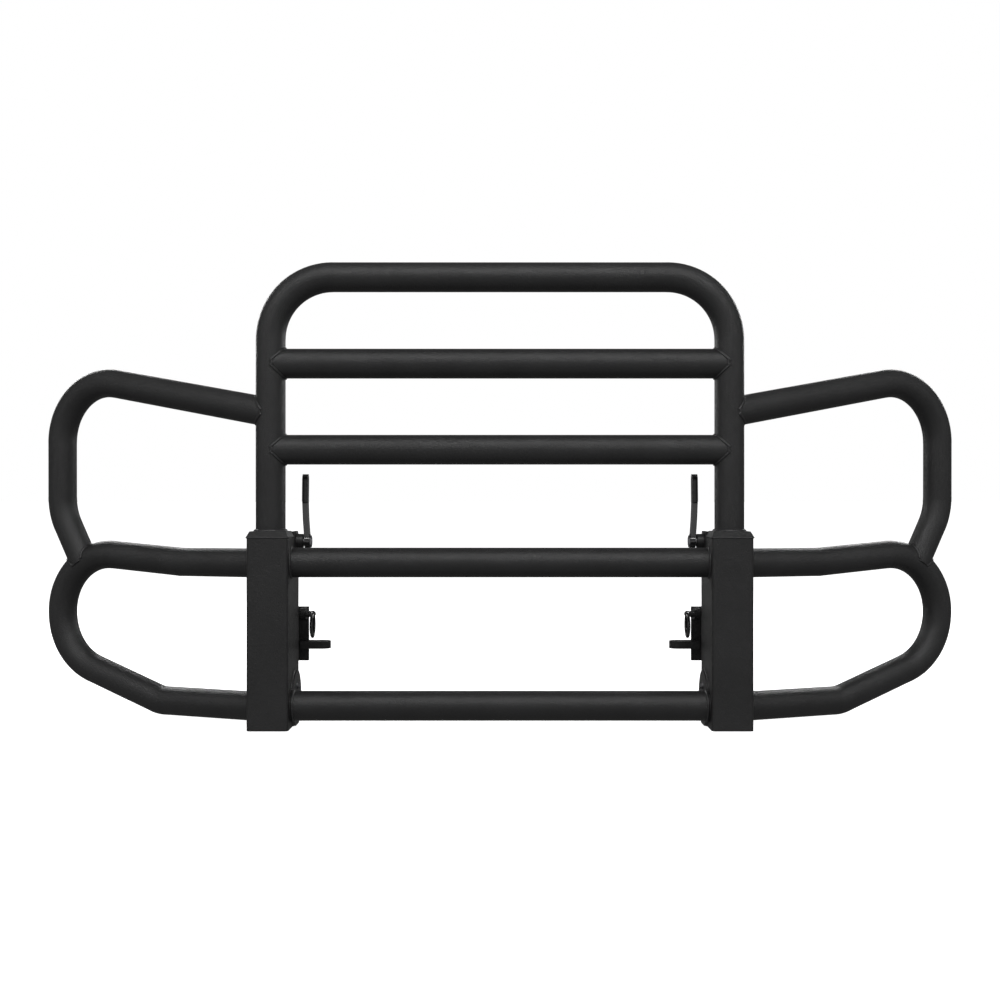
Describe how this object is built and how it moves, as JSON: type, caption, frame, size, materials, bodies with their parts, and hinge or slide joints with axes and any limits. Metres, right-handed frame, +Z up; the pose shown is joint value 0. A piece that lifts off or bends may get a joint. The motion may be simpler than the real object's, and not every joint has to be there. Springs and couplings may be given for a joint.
{
  "type": "truck front grille guard",
  "caption": "Black tubular front grille guard: round hoop, grille bars and swept side loops on channel uprights that hinge forward from truck brackets, with latches.",
  "frame": {"origin": "midway between the two truck brackets, on the plane of their rear bolting faces and at mid-height of their bolt holes", "axes": "+X across the truck, to the right as seen from in front; +Y back into the truck; +Z up"},
  "size_m": [2.399, 0.3763, 1.1485],
  "materials": {
    "black_powder_coat": "fine textured satin black powder coat",
    "gloss_black": "smooth gloss black",
    "dark_zinc": "dark zinc plating, satin",
    "bush_bronze": "oiled sintered bronze",
    "black_nylon": "satin moulded black nylon",
    "black_rubber": "matt moulded rubber"
  },
  "bodies": {
    "truck_brackets": {"truck_bracket_left": "black_powder_coat", "truck_bracket_right": "black_powder_coat", "pivot_bushes": "bush_bronze", "striker_bar_left": "dark_zinc", "striker_bar_right": "dark_zinc", "bump_stop_left": "black_rubber", "bump_stop_right": "black_rubber", "bump_stop_screws": "dark_zinc"},
    "guard": {"hoop": "black_powder_coat", "grille_bar_upper": "black_powder_coat", "grille_bar_lower": "black_powder_coat", "cross_tube_upper": "black_powder_coat", "cross_tube_lower": "black_powder_coat", "upper_side_loop_left": "black_powder_coat", "upper_side_loop_right": "black_powder_coat", "lower_side_loop_left": "black_powder_coat", "lower_side_loop_right": "black_powder_coat", "upright_left": "black_powder_coat", "upright_right": "black_powder_coat", "upright_cap_left": "black_powder_coat", "upright_cap_right": "black_powder_coat", "hinge_doubler_left": "black_powder_coat", "hinge_doubler_right": "black_powder_coat", "lock_ear_left": "black_powder_coat", "lock_ear_right": "black_powder_coat", "pivot_pin_left": "dark_zinc", "pivot_pin_right": "dark_zinc", "pivot_keeper_bolts": "dark_zinc", "latch_bush_left": "black_nylon", "latch_bush_right": "black_nylon"},
    "latch_left": {"latch_shaft_left": "dark_zinc", "latch_hook_left": "gloss_black", "latch_lever_left": "gloss_black", "latch_nut_left": "dark_zinc", "latch_circlip_left": "dark_zinc"},
    "latch_right": {"latch_shaft_right": "dark_zinc", "latch_hook_right": "gloss_black", "latch_lever_right": "gloss_black", "latch_nut_right": "dark_zinc", "latch_circlip_right": "dark_zinc"},
    "lock_pin_left": {"lock_pin_left": "gloss_black"},
    "lock_pin_right": {"lock_pin_right": "gloss_black"},
    "pull_ring_left": {"pull_ring_left": "gloss_black"},
    "pull_ring_right": {"pull_ring_right": "gloss_black"}
  },
  "joints": [
    {"name": "fold", "type": "hinge", "parent": "truck_brackets", "child": "guard", "pos_m": [0, -0.152, -0.148], "axis": [1, 0, 0], "range_deg": [0, 80]},
    {"name": "latch_left", "type": "hinge", "parent": "guard", "child": "latch_left", "pos_m": [-0.5, -0.119, 0.243], "axis": [1, 0, 0], "range_deg": [-70, 0]},
    {"name": "lock_pin_left", "type": "slide", "parent": "truck_brackets", "child": "lock_pin_left", "axis": [-1, 0, 0], "range_m": [0, 0.012]},
    {"name": "ring_left", "type": "hinge", "parent": "lock_pin_left", "child": "pull_ring_left", "pos_m": [-0.4822, -0.047, 0.054], "axis": [0, -1, 0], "range_deg": [-25, 80]},
    {"name": "latch_right", "type": "hinge", "parent": "guard", "child": "latch_right", "pos_m": [0.5, -0.119, 0.243], "axis": [1, 0, 0], "range_deg": [-70, 0]},
    {"name": "lock_pin_right", "type": "slide", "parent": "truck_brackets", "child": "lock_pin_right", "axis": [1, 0, 0], "range_m": [0, 0.012]},
    {"name": "ring_right", "type": "hinge", "parent": "lock_pin_right", "child": "pull_ring_right", "pos_m": [0.4822, -0.047, 0.054], "axis": [0, 1, 0], "range_deg": [-25, 80]}
  ]
}
